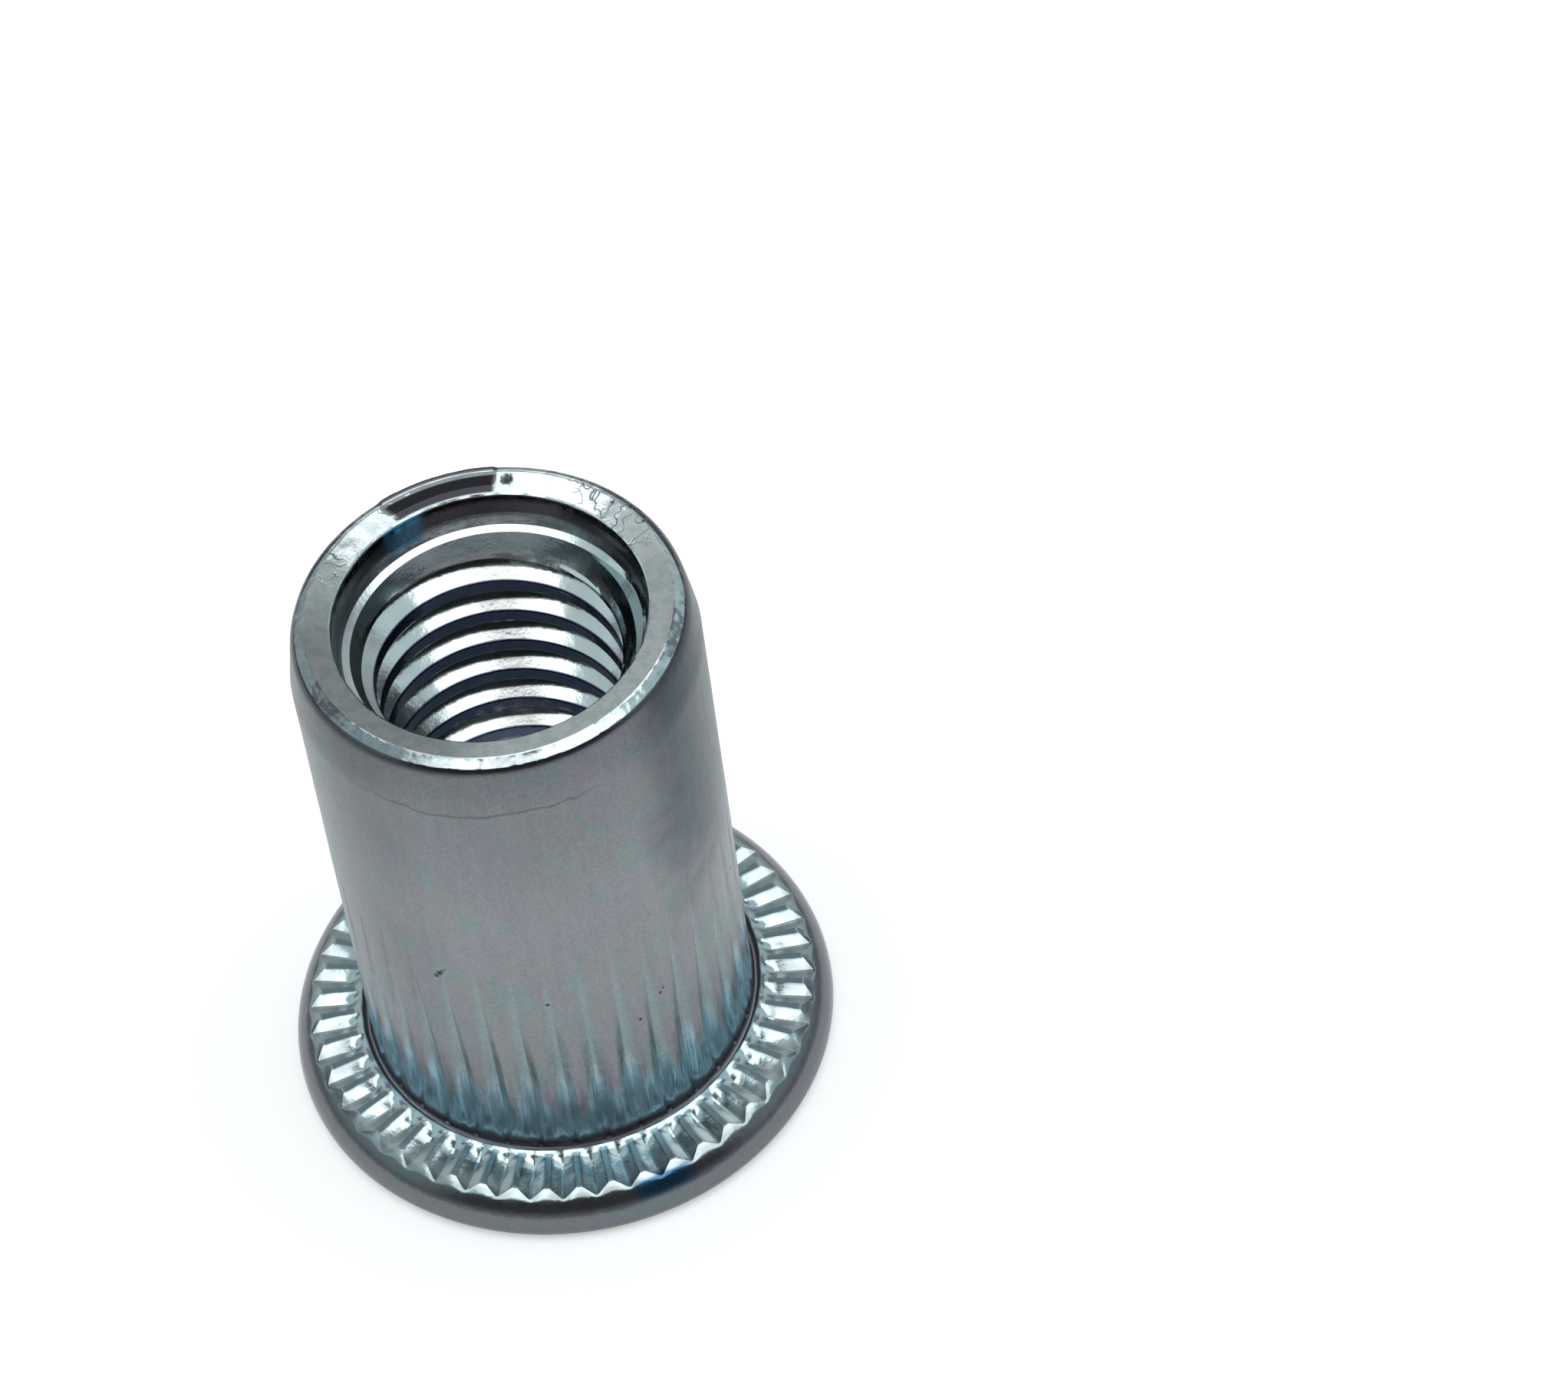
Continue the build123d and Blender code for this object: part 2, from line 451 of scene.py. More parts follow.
def noseRows():
    rows = []
    for radius, height in nose["outer"]:
        columns = fine if height > nose["fineFrom"] else coarse
        rows.append(ringRow(columns, radius, height, ease(*nose["outerBright"], height), *nose["outerRough"]))

    def edgeRow(radius, height):
        def shape(angle, column):
            level = height + (along(nose["patch"], radius) - height) * patchShare(angle, radius)
            level += uneven(nose["edgeLift"], angle, radius, 0.0)
            return radius + uneven(nose["burrs"], angle, radius, height), min(noseTop, level), angle
        return addRow(fine, shape, 1.0)

    rows += [edgeRow(radius, height) for radius, height in nose["edge"]]
    for radius in nose["face"]:
        rows.append(addRow(fine, lambda angle, column: (radius, faceHeight(angle, radius), angle), 1.0))
    inside, outside = nose["patchShade"]
    # the pressed patch and the dent are painted dark as shade
    for row in rows[-len(nose["face"]) - 1:]:
        for column, point in enumerate(row):
            angle, radius = 2 * pi * column / fine, sqrt(points[point][0] ** 2 + points[point][1] ** 2)
            pressedShade = patchShare(angle, radius) if inside < radius < outside else 0.0
            shadeAndHighlightMask[point] = max(pressedShade, dentShare(angle, radius))
    inner = nose["face"][-1]
    for radius, drop in nose["mouth"]:
        def shape(angle, column):
            ragged = uneven(nose["mouthRagged"], angle, radius, drop)
            return radius + ragged, faceHeight(angle, inner) + drop, angle
        rows.append(addRow(fine, shape, 1.0))
    for radius, height in nose["wall"]:
        def shape(angle, column):
            ragged = uneven(nose["wallRagged"], angle, radius, height)
            return max(radius, threadRadius(angle, height)) + ragged, height, angle
        rows.append(addRow(coarse, shape, 1.0, nose["wallGrimeAndShadeMost"] * ease(*nose["wallGrimeAndShade"], height)))
    return rows


# thread: a grid whose rows climb with the helix, clipped by plain rings above and below

thread = {
    "rows": (0, 4, 7, 8, 11, 14, 18, 19, 22, 25, 28, 30),  # in parts of a pitch, crest from 28 to 8
    "parts": 32,
    "shape": ((0, 0), (7, 0), (8, 0.03), (18, 1), (19, 1), (28, 0.05), (30, 0), (32, 0)),  # part, depth
    "crestTop": 8,
    "lowerCorner": 28.5,
    "cornerWidth": 2,
    "grainRadius": 3.4,
    "chips": ((0.06, 0.1, 12),),  # height, size, seed, as the next
    "wobble": ((0.012, 0.9, 13),),
    "turnsBelow": 5,  # whole pitches from the head's face up to the first turn
    "turns": 9,
    "mouth": ((16.02, nut["threadCore"]), (16.11, 3.46), (16.73, 3.84), (16.82, 4.03), (17.06, 4.16)),
    "shoulder": ((nut["threadLow"], nut["boreRadius"]), (8.5, nut["threadCore"])),  # height, radius
}
threadBase = nut["threadPhase"] + nut["threadPitch"] * (
    thread["turnsBelow"] - thread["crestTop"] / thread["parts"])


def threadRadius(angle, height):
    part = ((height - threadBase) / nut["threadPitch"] - angle / (2 * pi)) % 1 * thread["parts"]
    depth = nut["threadRoot"] - nut["threadCore"]
    cut = nut["threadCore"] + depth * along(thread["shape"], part)
    nearCorner = max(0.0, 1 - abs(part - thread["lowerCorner"]) / thread["cornerWidth"])  # which is ragged
    chip = max(0.0, uneven(thread["chips"], angle, thread["grainRadius"], height)) * nearCorner
    cut += chip + uneven(thread["wobble"], angle, cut, height)
    return max(cut, along(thread["mouth"], height), along(thread["shoulder"], height))


def threadSkin(lowRing, highRing):
    stepsUp, parts = thread["rows"], thread["parts"]
    unit = nut["threadPitch"] / (parts * coarse)
    lowKey = round((nut["threadLow"] - threadBase) / unit)
    highKey = round((nut["threadHigh"] - threadBase) / unit)
    made = {}

    def corner(row, column):
        if column == coarse:
            row, column = row + len(stepsUp), 0
        turn, step = divmod(row, len(stepsUp))
        key = (turn * parts + stepsUp[step]) * coarse + parts * column
        if key <= lowKey:
            return lowRing[column]
        if key >= highKey:
            return highRing[column]
        if (row, column) not in made:
            angle, height = 2 * pi * column / coarse, threadBase + key * unit
            made[row, column] = addPoint(threadRadius(angle, height), height, angle, formed=1.0)
        return made[row, column]

    for row in range(-len(stepsUp), thread["turns"] * len(stepsUp)):
        for column in range(coarse):
            addFace(corner(row, column), corner(row + 1, column),
                    corner(row + 1, column + 1), corner(row, column + 1))


# wide bore below the thread

bore = {
    "heights": (7.3, 6.5, 5.5, 4.5, 3.5, 2.5, 1.5, 0.8, 0.25),
    "formed": 0.6,
    "edge": 0.25,  # radius of its rounded lower edge
    "edgeTurns": (30, 60),
    "edgeFormed": 0.5,
}


def makeNut():
    rows = headRows() + toothRows() + shankRows() + noseRows()
    high = nut["threadHigh"]
    rows.append(addRow(coarse, lambda angle, column: (threadRadius(angle, high), high, angle), 1.0))
    for lower, upper in zip(rows, rows[1:]):
        joinRows(lower, upper)
    down = [ringRow(coarse, nut["boreRadius"], nut["threadLow"], 1.0)]
    threadSkin(down[0], rows[-1])
    for height in bore["heights"]:
        down.append(ringRow(coarse, nut["boreRadius"], height, bore["formed"]))
    for turn in bore["edgeTurns"]:
        radius = nut["boreRadius"] + bore["edge"] * (1 - cos(radians(turn)))
        down.append(ringRow(coarse, radius, bore["edge"] * (1 - sin(radians(turn))), bore["edgeFormed"]))
    down.append(rows[0])
    for upper, lower in zip(down, down[1:]):
        joinRows(upper, lower)

    middle = (nutLow + nutHigh) / 2
    mesh = bpy.data.meshes.new("rivetNutSkin")
    placed = [(x * mm + middle.x, y * mm + middle.y, z * mm + nutLow.z) for x, y, z in points]
    mesh.from_pydata(placed, [], faces)
    mesh.polygons.foreach_set("use_smooth", [True] * len(mesh.polygons))
    mesh.set_sharp_from_angle(angle=radians(nutLook["sharpAngle"]))
    # the crest attribute carries painted shade (above 0) and a painted highlight (below 0)
    masks = {"groove": grooveMask, "formed": formedMask, "grimeAndShade": grimeAndShadeMask, "crest": shadeAndHighlightMask}
    for name, values in masks.items():
        mesh.attributes.new(name, "FLOAT", "POINT").data.foreach_set("value", values)
    mesh.update()
    piece = bpy.data.objects.new("rivetNut", mesh)
    bpy.context.scene.collection.objects.link(piece)
    triangles = sum(len(face) - 2 for face in faces)
    print("nut skin:", len(points), "points,", triangles, "triangles")
    return piece


# shader maths

class Wire:  # a socket that takes part in sums
    def __init__(self, board, socket):
        self.board, self.socket = board, socket

    def sum(self, operation, first, second):
        return self.board.node("ShaderNodeMath", {"operation": operation}, {0: first, 1: second})

    def __add__(self, other):
        return self.sum("ADD", self, other)

    def __radd__(self, other):
        return self.sum("ADD", other, self)

    def __sub__(self, other):
        return self.sum("SUBTRACT", self, other)

    def __rsub__(self, other):
        return self.sum("SUBTRACT", other, self)

    def __mul__(self, other):
        return self.sum("MULTIPLY", self, other)

    def __rmul__(self, other):
        return self.sum("MULTIPLY", other, self)

    def __truediv__(self, other):
        return self.sum("DIVIDE", self, other)


class Board:  # one node tree
    def __init__(self, owner):
        owner.use_nodes = True
        self.tree = owner.node_tree
        self.tree.nodes.clear()

    def node(self, kind, settings=None, sockets=None, output=0):
        made = self.tree.nodes.new(kind)
        for name, value in (settings or {}).items():
            setattr(made, name, value)
        for name, value in (sockets or {}).items():
            if isinstance(value, Wire):
                self.tree.links.new(value.socket, made.inputs[name])
            else:
                made.inputs[name].default_value = value
        return Wire(self, made.outputs[output]) if len(made.outputs) else made

    def blend(self, share, first, second):  # of two colours
        return self.node("ShaderNodeMix", {"data_type": "RGBA"}, {0: share, 6: first, 7: second}, 2)

    def vector(self, operation, *vectors, output=0):
        return self.node("ShaderNodeVectorMath", {"operation": operation}, dict(enumerate(vectors)), output)

    def scaled(self, vector, factor):
        return self.node("ShaderNodeVectorMath", {"operation": "SCALE"}, {"Vector": vector, "Scale": factor})

    def clamped(self, value):
        return self.node("ShaderNodeClamp", {}, {0: value})

    def absolute(self, value):
        return self.node("ShaderNodeMath", {"operation": "ABSOLUTE"}, {0: value})

    def between(self, value, low, high):  # 0 below low, 1 above high, smooth
        return self.node("ShaderNodeMapRange", {"interpolation_type": "SMOOTHSTEP"},
                         {"Value": value, "From Min": low, "From Max": high})

    def noise(self, place, size, detail=2.0, rough=0.5, bend=0.0):
        return self.node("ShaderNodeTexNoise", {}, {
            "Vector": place, "Scale": 1 / size, "Detail": detail, "Roughness": rough, "Distortion": bend})


def colour(red, green, blue):
    return (red, green, blue, 1.0)


# zinc plate: dull and grainy on the plain shank, smooth and blue where the metal was formed, with painted
# reflections, highlights and shade in many zones

nutLook = {
    "sharpAngle": 12,
    "plain": colour(0.236, 0.243, 0.253),
    "violet": colour(0.246, 0.234, 0.276),
    "teal": colour(0.194, 0.262, 0.256),
    "groove": colour(0.235, 0.285, 0.295),
    "formed": colour(0.600, 0.650, 0.660),
    "formedDark": colour(0.470, 0.545, 0.560),
    "foot": colour(0.350, 0.530, 0.620),  # painted blue reflection of the teeth on the knurl's foot
    "ring": colour(0.500, 0.580, 0.600),  # teeth
    "ringPaintedHighlight": colour(0.780, 0.900, 0.910),  # painted highlight on right-hand flanks at the front
    # painted shade along the teeth's crests
    "ringCrestShade": colour(0.215, 0.300, 0.335),
    "lipEdgeShade": colour(0.100, 0.100, 0.112),  # painted shade round the outside of the nose's bright lip
    "wallShadeBrown": colour(0.055, 0.046, 0.050),  # painted shade on the upper part of the mouth's wall
    # painted light on the left of the mouth's wall
    "wallLeftLight": colour(0.300, 0.360, 0.360),
    # painted blue glint on the mouth's wall
    "wallBlueGlint": colour(0.120, 0.480, 0.800),
    "threadCrestShade": colour(0.105, 0.130, 0.200),  # painted shade on the crests of the thread
    "threadFlank": colour(0.720, 0.740, 0.725),
    "pressedShade": colour(0.045, 0.045, 0.055),  # painted shade on the flat patch of the end face
    # painted blue reflection on the rim
    "rimBlueReflection": colour(0.028, 0.110, 0.215),
    "cone": colour(0.480, 0.580, 0.600),  # between the mouth and the thread
    # painted dark reflection on one side of the shank
    "slateReflection": colour(0.058, 0.076, 0.090),
    # dust, pits and the tool's mark, and painted shade in the creases
    "stainAndShade": colour(0.045, 0.042, 0.045),
    # grime, with painted shade, in the recess below the teeth and in the mouth
    "grimeAndShade": colour(0.190, 0.172, 0.200),
    # how much of each colour
    "violetShare": 0.8,
    "tealShare": 0.7,
    "grooveShare": 0.85,
    "wallLeftLightShare": 0.7,
    "wallBlueGlintShare": 0.9,
    "threadShare": 0.8,
    "rimBlueReflectionShare": 0.9,
    "dustShare": 0.55,
    "grimeAndShadeShare": 0.85,
    "markShare": 0.45,
    "creaseShare": 0.75,
    # textures: size, detail, roughness, bend
    "cloud": (2.6, 3, 0.6, 0.4),
    "patch": (1.3, 2, 0.5, 0.6),
    "mottle": (0.34, 3, 0.65),
    "speckle": (0.075, 2, 0.6),
    "dust": (0.11, 3, 0.7),
    "crease": (0.42, 1, 0.5, 0.3),
    "streak": (0.3, 2, 0.6),
    "streakSquash": 0.12,  # of its height, which draws it out along the nut
    # where in its texture each tint comes in
    "violetFrom": (0.42, 0.62),
    "tealFrom": (0.5, 0.68),
    "darkFrom": (0.42, 0.6),
    "dustFrom": (0.68, 0.76),
    "creaseFrom": (0.45, 0.53),
    "creaseWidth": (0.006, 0.026),
    "formedFrom": (0.45, 0.95),
    # brightness
    "shade": 0.9,
    "speckleShade": (0.5, 0.12),  # on plain metal, and more of it everywhere
    "mottleShade": 0.2,
    "streakShade": (0.2, 0.9),  # on plain metal, at the foot
    "noseDull": (0.19, 0.12),  # up to the taper, and over it
    # painted shade on one side of the end face
    "faceShade": 0.42,
    # painted light on the rear right of the end face
    "facePaintedLight": 0.35,
    # painted shade on the rim below the teeth
    "rimShade": 0.32,
    # painted shade on the cone, except on its rear
    "coneShade": 0.4,
    # sides of the shank, a painted dark reflection and painted shade: heights where they set in, how much
    "slateReflectionSide": (7.0, 12.5, 0.92),
    "leftShade": (5.0, 9.0, 0.26),
    "sideRagged": (0.2, 4),
    # roughness
    "roughPlain": 0.36,
    "roughGroove": 0.28,
    "roughFormed": 0.14,
    "roughGrime": 0.2,
    "roughFoot": 0.16,
    "roughMottle": 0.1,
    "roughSide": 0.22,
    # relief
    "speckleRelief": 0.0022,
    "mottleRelief": (0.004, 0.006),
    "patchRelief": 0.006,
    "streakRelief": (0.008, 0.05),
    "pitDepth": 0.03,
    "markDepth": 0.012,
    "creaseDepth": 0.012,
    "pits": ((238.6, 8.85, 0.08), (239.6, 8.98, 0.085), (240.7, 9.12, 0.065), (241.7, 9.24, 0.05),
             (269.9, 7.87, 0.06), (303.2, 6.66, 0.06), (304.4, 6.78, 0.05), (295.5, 6.05, 0.06),
             (345.6, 7.6, 0.09)),  # direction, height, size
    "pitInset": 0.04,
    "pitEdge": (0.5, 1.25),
    "toolMark": (16.3, 0.075),  # height, thickness
    "markRagged": 0.6,
    "lipRagged": 0.15,
}
heights = {  # between which each zone begins or ends
    "footLow": (1.45, 1.6), "footHigh": (3.5, 6),
    "ringHigh": (1.6, 1.8), "rimHigh": (1.25, 1.4), "rimBlueLow": (0.85, 1.0), "rimBlueHigh": (1.25, 1.3),
    "shankDull": (11.0, 16.2), "taperDull": (16.2, 17.4),
    "faceLow": (17.6, 17.75), "creaseLow": (17.55, 17.8), "lipLow": (17.7, 17.8), "roughLow": (15.0, 15.6),
    "mouthLow": (16.9, 17.0), "wallShadeLow": (17.1, 17.2),
    "coneLow": (16.1, 16.2), "coneTint": (16.25, 16.35), "coneHigh": (16.7, 16.74),
    "threadLow": (8.3, 8.6), "threadHigh": (16.7, 16.9),
}
radii = {
    "ring": (5.68, 5.7), "rim": (6.9, 7.1), "lip": (5.12, 5.15), "mouth": (4.19, 4.21), "hole": (4.2, 4.22),
    "cone": (4.1, 4.2), "thread": (4.05, 4.1), "core": (3.355, 3.385),
}
sides = {  # direction, and cosines between which it fades in
    "flank": (282, 0.75, 0.92), "rimBlueReflection": (289, 0.989, 0.998), "cone": (108, 0.5, 0.9),
    "slateReflectionSide": (346.0, 0.740, 0.960), "leftShade": (205.0, 0.75, 0.98), "toolMark": (262.0, 0.80, 0.92),
    "faceShade": (215.0, 0.55, 0.90), "facePaintedLight": (45, 0.8, 0.95), "lip": (85, 0.0, 0.6),
    "creaseRight": (50, 0.84, 0.94), "creaseLeft": (136, 0.92, 0.97), "rough": (205, 0.5, 0.95),
    "wallLeftLight": (200, 0.4, 0.95), "wallBlueGlint": (121, 0.984, 0.998),
}


def zincPlate():
    look = nutLook
    finish = bpy.data.materials.new("zincPlate")
    board = Board(finish)
    place = board.scaled(board.node("ShaderNodeTexCoord", output="Object"), 1 / mm)
    height = board.node("ShaderNodeSeparateXYZ", {}, {0: place}, "Z")
    groove, formed, grimeAndShade, crest = (board.node("ShaderNodeAttribute", {"attribute_name": name}, output="Fac")
                                    for name in ("groove", "formed", "grimeAndShade", "crest"))
    plain = 1 - formed
    flat = board.vector("MULTIPLY", place, (1, 1, 0))
    radial = board.vector("LENGTH", flat, output="Value")
    outward = board.vector("NORMALIZE", flat)
    cloud, patch, mottle, speckle, dust, crease = (
        board.noise(place, *look[name]) for name in ("cloud", "patch", "mottle", "speckle", "dust", "crease"))
    streak = board.noise(board.vector("MULTIPLY", place, (1, 1, look["streakSquash"])), *look["streak"])

    def above(zone):
        return board.between(height, *heights[zone])

    def below(zone):
        return 1 - above(zone)

    def outside(zone):
        return board.between(radial, *radii[zone])

    def inside(zone):
        return 1 - outside(zone)

    def towards(side, ragged=0):
        degrees, low, high = sides[side]
        direction = (cos(radians(degrees)), sin(radians(degrees)), 0)
        facing = board.vector("DOT_PRODUCT", outward, direction, output="Value")
        return board.between(facing + (cloud - 0.5) * ragged if ragged else facing, low, high)

    def shankSide(name):
        (start, full, much), (across, up) = look[name], look["sideRagged"]
        return towards(name, across) * board.between(height + (patch - 0.5) * up, start, full) * much

    # plain metal, formed metal and teeth, with a painted blue reflection of the teeth on the knurl's foot,
    # painted shade on the tooth crests and a painted highlight on right-hand flanks at the front
    onFoot = above("footLow") * below("footHigh")
    onRing = outside("ring") * below("ringHigh")
    violet = board.between(cloud, *look["violetFrom"]) * look["violetShare"]
    teal = board.between(patch, *look["tealFrom"]) * look["tealShare"]
    tint = board.blend(teal, board.blend(violet, look["plain"], look["violet"]), look["teal"])
    tint = board.blend(groove * look["grooveShare"], tint, look["groove"])
    shiny = board.blend(board.between(mottle, *look["darkFrom"]), look["formed"], look["formedDark"])
    # painted blue reflection of the teeth at the knurl's foot
    shiny = board.blend(onFoot, shiny, look["foot"])
    # painted shade along the crests, and a painted highlight on right-hand flanks facing the front
    ringTint = board.blend(board.clamped(crest), look["ring"], look["ringCrestShade"])
    flank = board.clamped(0 - crest) * towards("flank")
    shiny = board.blend(onRing, shiny, board.blend(flank, ringTint, look["ringPaintedHighlight"]))
    tint = board.blend(board.between(formed, *look["formedFrom"]), tint, shiny)

    # random light and dark, darker up the shank and over the taper, painted shade on the left of the shank,
    # on one side of the end face and on the rim below the teeth, and a painted dark reflection on the right
    # of the shank
    (specklePlain, speckleAll), (streakPlain, streakFoot) = look["speckleShade"], look["streakShade"]
    shade = look["shade"] + (speckle - 0.5) * (specklePlain * plain + speckleAll)
    shade = shade + mottle * look["mottleShade"]
    shade = shade + (streak - 0.5) * (streakPlain * plain + streakFoot * onFoot)
    upShank, overTaper = look["noseDull"]
    shade = shade * (1 - plain * (above("shankDull") * upShank + above("taperDull") * overTaper))
    shade = shade * (1 - shankSide("leftShade") * plain)
    shade = shade * (1 - towards("faceShade") * above("faceLow") * look["faceShade"])
    shade = shade * (1 - below("rimHigh") * outside("rim") * look["rimShade"])
    tint = board.scaled(board.blend(shankSide("slateReflectionSide") * plain, tint, look["slateReflection"]), shade)

    # nose's lip, mouth and thread, with painted shade round the lip, on the mouth's upper wall and on the
    # cone away from its rear, painted light on the left of the mouth's wall and a painted blue glint on it
    lip = board.between(radial + towards("lip") * look["lipRagged"], *radii["lip"])
    tint = board.blend(lip * above("lipLow"), tint, look["lipEdgeShade"])
    inMouth = above("mouthLow") * inside("mouth")
    tint = board.blend(inMouth * above("wallShadeLow"), tint, look["wallShadeBrown"])
    tint = board.blend(inMouth * towards("wallLeftLight") * look["wallLeftLightShare"], tint, look["wallLeftLight"])
    tint = board.blend(inMouth * towards("wallBlueGlint") * look["wallBlueGlintShare"], tint, look["wallBlueGlint"])
    inCone = above("coneLow") * below("coneHigh") * inside("cone")
    inThread = inside("thread") * above("threadLow") * below("threadHigh")
    tint = board.blend(inThread * look["threadShare"], tint, look["threadFlank"])
    tint = board.blend(inCone * above("coneTint"), tint, look["cone"])
    tint = board.scaled(tint, 1 - inCone * (1 - towards("cone")) * look["coneShade"])

    # end face and rim, with painted light towards the rear right of the face, painted shade on its pressed
    # patch and dent, a painted blue reflection on the rim and painted shade on the thread's crests
    onFace = above("faceLow") * formed
    tint = board.scaled(tint, 1 + onFace * (towards("facePaintedLight") * look["facePaintedLight"]))
    tint = board.blend(crest * onFace, tint, look["pressedShade"])
    onRim = above("rimBlueLow") * below("rimBlueHigh") * outside("rim")
    tint = board.blend(onRim * towards("rimBlueReflection") * look["rimBlueReflectionShare"], tint, look["rimBlueReflection"])
    tint = board.blend(inside("core") * above("threadLow"), tint, look["threadCrestShade"])

    # dust, grime with painted shade, pits, the tool's mark, and creases painted dark as shade
    dust = board.between(dust, *look["dustFrom"]) * plain
    tint = board.blend(dust * look["dustShare"], tint, look["stainAndShade"])
    tint = board.blend(grimeAndShade * look["grimeAndShadeShare"], tint, look["grimeAndShade"])
    pit, (innerEdge, outerEdge) = 0, look["pitEdge"]
    for direction, level, size in look["pits"]:
        radius = nut["shankRadius"] - look["pitInset"]
        spot = (radius * cos(radians(direction)), radius * sin(radians(direction)), level)
        away = board.vector("DISTANCE", place, spot, output="Value")
        pit = (1 - board.between(away, size * innerEdge, size * outerEdge)) + pit
    tint = board.blend(board.clamped(pit), tint, look["stainAndShade"])
    level, thick = look["toolMark"]
    offLine = board.absolute(height - level + (patch - 0.5) * look["markRagged"])
    mark = (1 - board.between(offLine, 0, thick)) * towards("toolMark")
    crease = 1 - board.between(board.absolute(crease - 0.5), *look["creaseWidth"])
    crease = crease * board.between(cloud, *look["creaseFrom"]) * above("creaseLow") * formed * (
        towards("creaseRight") + towards("creaseLeft"))
    tint = board.blend(mark * look["markShare"] + crease * look["creaseShare"], tint, look["stainAndShade"])

    rough = look["roughPlain"] + groove * (look["roughGroove"] - look["roughPlain"])
    rough = rough * plain + formed * look["roughFormed"] + grimeAndShade * look["roughGrime"]
    rough = rough + onFoot * formed * look["roughFoot"] + (mottle - 0.5) * look["roughMottle"]
    rough = rough + towards("rough") * above("roughLow") * inside("hole") * look["roughSide"]
    (mottlePlain, mottleAll), (streakPlain, streakFoot) = look["mottleRelief"], look["streakRelief"]
    relief = speckle * look["speckleRelief"] * plain + mottle * (mottlePlain * plain + mottleAll)
    relief = relief + patch * look["patchRelief"] - pit * look["pitDepth"]
    relief = relief + streak * (streakPlain * plain + streakFoot * onFoot * formed)
    relief = relief - mark * look["markDepth"] - crease * look["creaseDepth"]
    bump = board.node("ShaderNodeBump", {}, {"Strength": 1.0, "Distance": mm, "Height": relief})
    metal = board.node("ShaderNodeBsdfPrincipled", {}, {
        "Base Color": tint, "Metallic": 1.0, "Roughness": rough, "Normal": bump})
    board.node("ShaderNodeOutputMaterial", {}, {"Surface": metal})
    return finish


rivetNut = makeNut()
rivetNut.data.materials.append(zincPlate())
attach(rivetNut, "root")
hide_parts("rivet_nut")
print("rivet nut made")


# floor

paper = {
    "radius": 3.0,  # metres, as the gap
    "sides": 96,
    "gap": 0.00002,
    "tone": colour(0.88, 0.88, 0.88),
    "rough": 0.9,
    "shine": 0.1,
    "glow": 0.50,
}


def makeFloor():
    turns = [2 * pi * side / paper["sides"] for side in range(paper["sides"])]
    level = nutLow.z - paper["gap"]
    corners = [(paper["radius"] * cos(turn), paper["radius"] * sin(turn), level) for turn in turns]
    mesh = bpy.data.meshes.new("paper")
    mesh.from_pydata(corners, [], [tuple(range(paper["sides"]))])
    sheet = bpy.data.objects.new("paper", mesh)
    bpy.context.scene.collection.objects.link(sheet)
    finish = bpy.data.materials.new("palePaper")
    board = Board(finish)
    dull = board.node("ShaderNodeBsdfPrincipled", {}, {
        "Base Color": paper["tone"], "Roughness": paper["rough"], "Specular IOR Level": paper["shine"],
        "Emission Color": paper["tone"], "Emission Strength": paper["glow"]})
    board.node("ShaderNodeOutputMaterial", {}, {"Surface": dull})
    mesh.materials.append(finish)
    return sheet


makeFloor()


# studio: one wide softbox overhead, pale walls behind and beside, a dark room in front with a bright band

studio = {
    "turn": 4.7,  # degrees, camera and lights together about the nut
    "softboxHeight": 0.6,  # metres
    "softboxEdges": (28, 33, 23, 25),  # left, right, front and rear, degrees from overhead
    "softboxGlow": 1.4,
    # room: colours, cosines away from the rear or the front, degrees up
    "rearWall": colour(0.56, 0.58, 0.58),
    "sideWall": colour(0.60, 0.75, 0.79),
    "rearEdge": (0.50, 0.88),
    "sideShade": colour(0.20, 0.21, 0.25),  # darker part of it, seen in the ends of the teeth and the rim
    "shadeAcross": ((0.25, 0.42), (0.72, 0.84)),
    "shadeUp": ((30, 35), (47, 52)),
    "wallLow": (12, 19),
    "wallDim": (40, 52),
    "wallDimShare": 0.15,
    "wallHigh": (60, 66),
    "lowGlow": colour(0.33, 0.39, 0.41),
    "ceiling": colour(0.30, 0.33, 0.34),
    "front": colour(0.115, 0.112, 0.122),
    "frontCentre": -2.5,  # degrees right of the camera's side
    "frontEdge": (0.42, 0.60),
    "frontLow": (12, 17),
    "frontGlow": colour(0.38, 0.38, 0.40),
    "frontHigh": (52, 57),
    "frontBand": colour(0.87, 1.12, 1.08),
    "frontGap": (0.86, 0.95),  # how wide the band stays dark in the middle
}
turned = Matrix.Rotation(radians(studio["turn"]), 4, "Z")
back = turned @ Vector((0, 1, 0))


def makeSoftbox():
    high = studio["softboxHeight"]
    left, right, front, rear = (high * tan(radians(degrees)) for degrees in studio["softboxEdges"])
    lamp = bpy.data.lights.new("softbox", "AREA")
    lamp.shape = "RECTANGLE"
    lamp.size, lamp.size_y = left + right, front + rear
    lamp.energy = studio["softboxGlow"] * pi * lamp.size * lamp.size_y
    box = bpy.data.objects.new("softbox", lamp)
    bpy.context.scene.collection.objects.link(box)
    box.matrix_world = turned @ Matrix.Translation(((right - left) / 2, (rear - front) / 2, high))


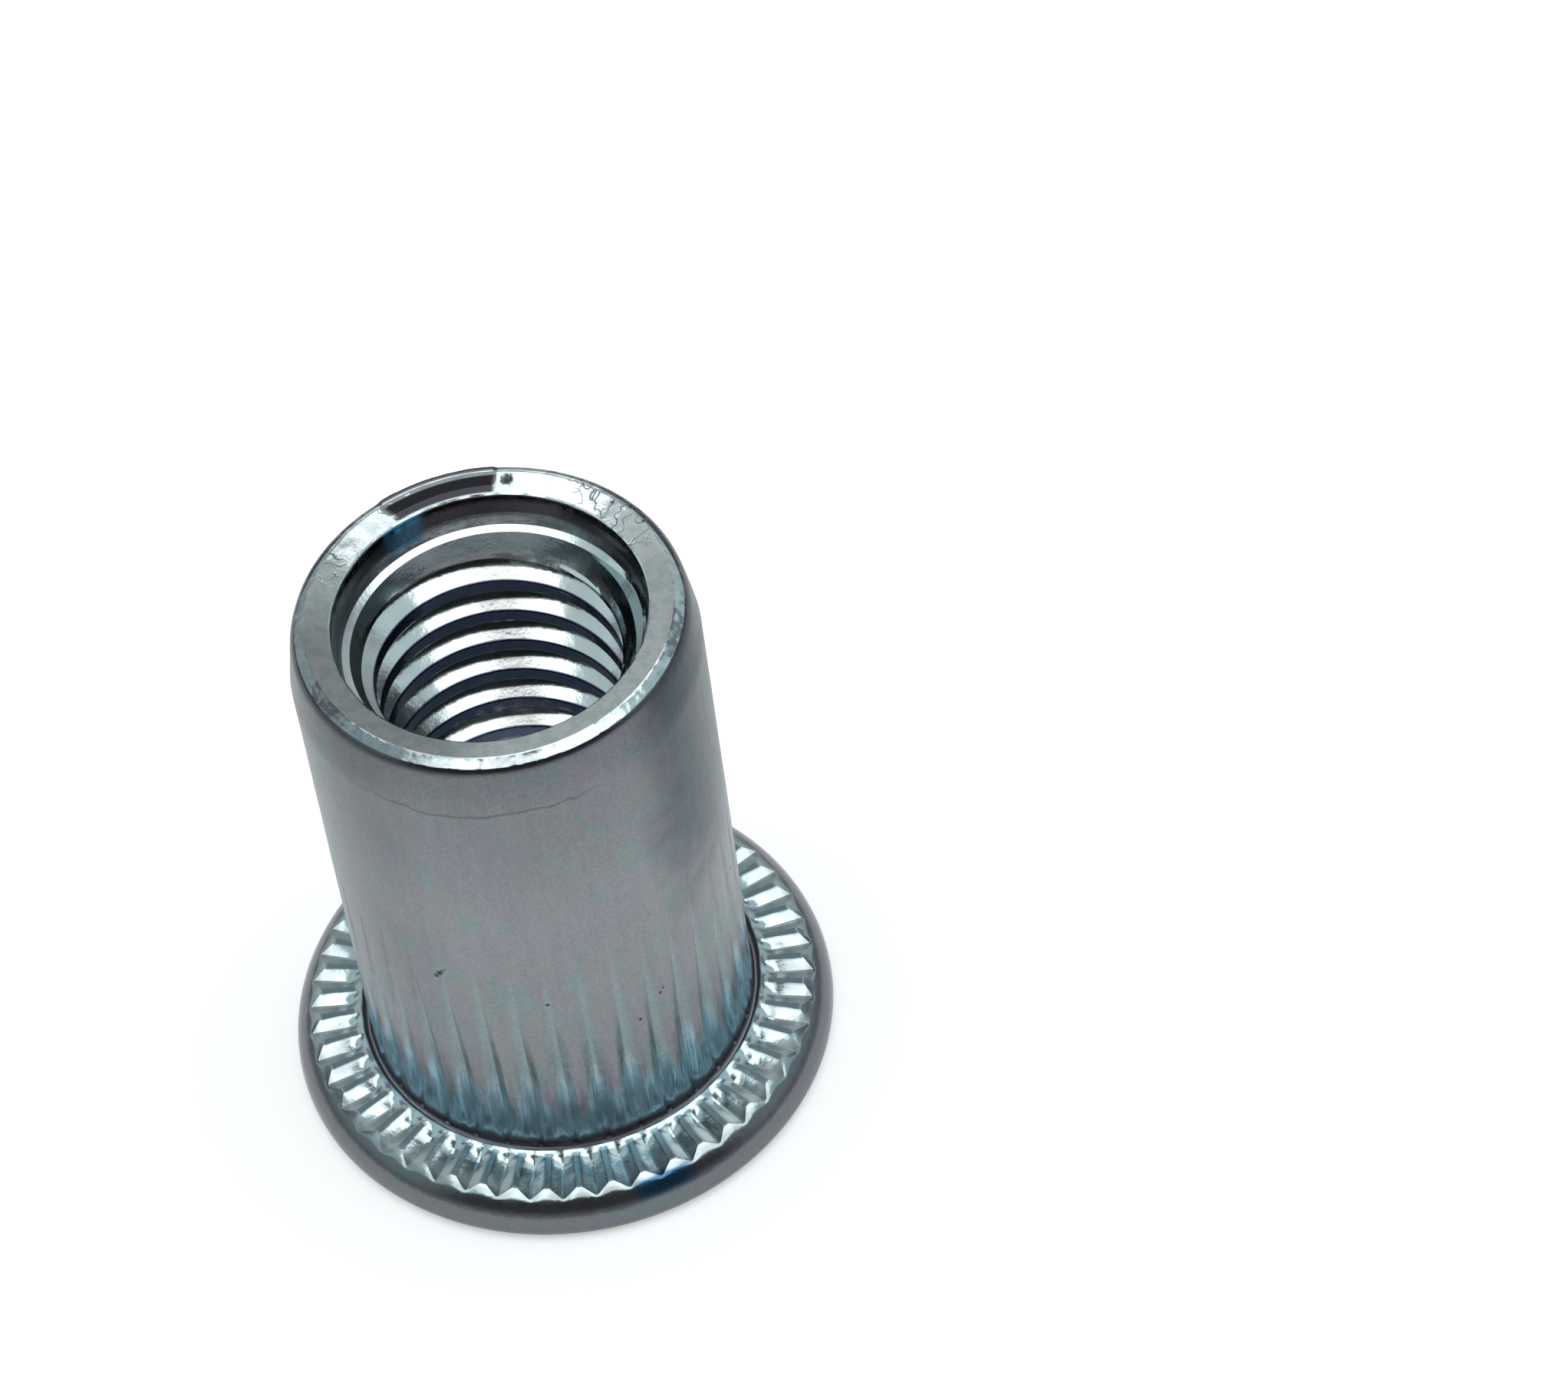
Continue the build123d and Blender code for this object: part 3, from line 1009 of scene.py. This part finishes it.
def makeRoom():
    world = bpy.data.worlds.new("room")
    bpy.context.scene.world = world
    board = Board(world)
    look = board.node("ShaderNodeTexCoord", output="Generated")
    up = board.node("ShaderNodeSeparateXYZ", {}, {0: look}, "Z")
    level = board.node("ShaderNodeMath", {"operation": "SQRT"}, {0: 1.0001 - up * up})  # never zero

    def facing(direction):  # cosine, as seen from above
        return board.vector("DOT_PRODUCT", look, direction, output="Value") / level

    def above(edges):
        return board.between(up, sin(radians(edges[0])), sin(radians(edges[1])))

    nearSide = Matrix.Rotation(radians(studio["frontCentre"]), 4, "Z") @ -back
    near = board.between(facing(nearSide), *studio["frontEdge"])
    rearward = facing(back)
    wall = board.blend(board.between(rearward, *studio["rearEdge"]), studio["sideWall"], studio["rearWall"])
    low = board.blend(near, studio["lowGlow"], studio["frontGlow"])
    (shadeFrom, shadeTo), (shadeLow, shadeHigh) = studio["shadeAcross"], studio["shadeUp"]
    dim = board.between(rearward, *shadeFrom) * (1 - board.between(rearward, *shadeTo))
    wall = board.blend(dim * above(shadeLow) * (1 - above(shadeHigh)), wall, studio["sideShade"])
    shade = board.blend(above(studio["wallLow"]), low, wall)
    shade = board.scaled(shade, 1 - above(studio["wallDim"]) * studio["wallDimShare"])
    shade = board.blend(above(studio["wallHigh"]), shade, studio["ceiling"])
    gap = board.between(facing(nearSide), *studio["frontGap"])
    ahead = board.blend(above(studio["frontHigh"]) * (1 - gap), studio["front"], studio["frontBand"])
    shade = board.blend(near * above(studio["frontLow"]), shade, ahead)
    light = board.node("ShaderNodeBackground", {}, {"Color": shade, "Strength": 1.0})
    board.node("ShaderNodeOutputWorld", {}, {"Surface": light})


makeSoftbox()
makeRoom()
bpy.context.scene.view_settings.view_transform = "Standard"


# camera

view = {
    "lens": 128.71,  # millimetres, as the distances
    "sensor": 36,
    "distance": 154.34,
    "targetHeight": 7.964,
    "clip": (0.01, 10),  # metres
    "elevation": 0.9030,  # radians, as the next three
    "yaw": -0.0491,
    "pitch": -0.0188,
    "roll": 0.1929,
}


def spin(a, b, angle):  # turns two axes in their own plane
    return cos(angle) * a + sin(angle) * b, cos(angle) * b - sin(angle) * a


def makeCamera():
    up = view["elevation"]
    towards = Vector((0, -cos(up), sin(up)))
    target = Vector((0, 0, nutLow.z + view["targetHeight"] * mm))
    across, ahead = spin(Vector((1, 0, 0)), -towards, view["yaw"])
    top, ahead = spin(Vector((0, sin(up), cos(up))), ahead, view["pitch"])
    across, top = spin(across, top, -view["roll"])
    eye = bpy.data.objects.new("camera", bpy.data.cameras.new("camera"))
    bpy.context.scene.collection.objects.link(eye)
    eye.data.lens, eye.data.sensor_width = view["lens"], view["sensor"]
    eye.data.clip_start, eye.data.clip_end = view["clip"]
    columns = Matrix((across, top, -ahead)).transposed().to_4x4()
    eye.matrix_world = turned @ Matrix.Translation(target + towards * view["distance"] * mm) @ columns
    bpy.context.scene.camera = eye


makeCamera()
print("studio and camera made")
